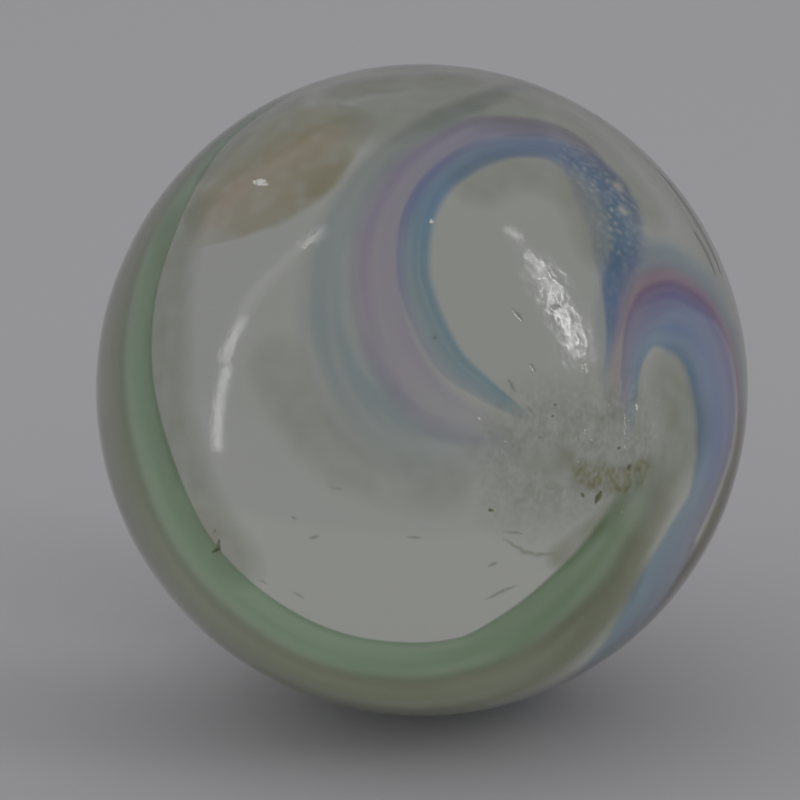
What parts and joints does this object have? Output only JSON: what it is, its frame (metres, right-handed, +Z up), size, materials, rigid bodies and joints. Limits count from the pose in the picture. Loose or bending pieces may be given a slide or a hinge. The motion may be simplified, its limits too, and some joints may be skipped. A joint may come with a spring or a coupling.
{
  "type": "glass marble",
  "caption": "Clear glass ball with folded ribbons of green, blue, mauve and violet glass, used as a toy, a weight or a rolling element.",
  "frame": {"origin": "centre of the ball", "axes": "+Z up, -Y towards the front of the swirl, +X to the right as the front is seen"},
  "size_m": [0.016, 0.016, 0.016],
  "materials": {
    "clear_glass": "polished, lightly pitted and scratched",
    "green_glass": "translucent, inside the clear glass",
    "blue_glass": "translucent, inside the clear glass",
    "mauve_glass": "translucent, inside the clear glass",
    "violet_glass": "translucent, inside the clear glass",
    "crimson_glass": "translucent, inside the clear glass",
    "pale_glass": "cloudy, inside the clear glass",
    "amber_glass": "cloudy, inside the clear glass"
  },
  "bodies": {
    "root": {"clear_glass": "clear_glass", "green_ribbon": "green_glass", "blue_ribbon": "blue_glass", "mauve_ribbon": "mauve_glass", "violet_ribbon": "violet_glass", "crimson_thread": "crimson_glass", "pale_veil": "pale_glass", "amber_cloud": "amber_glass"}
  },
  "joints": []
}
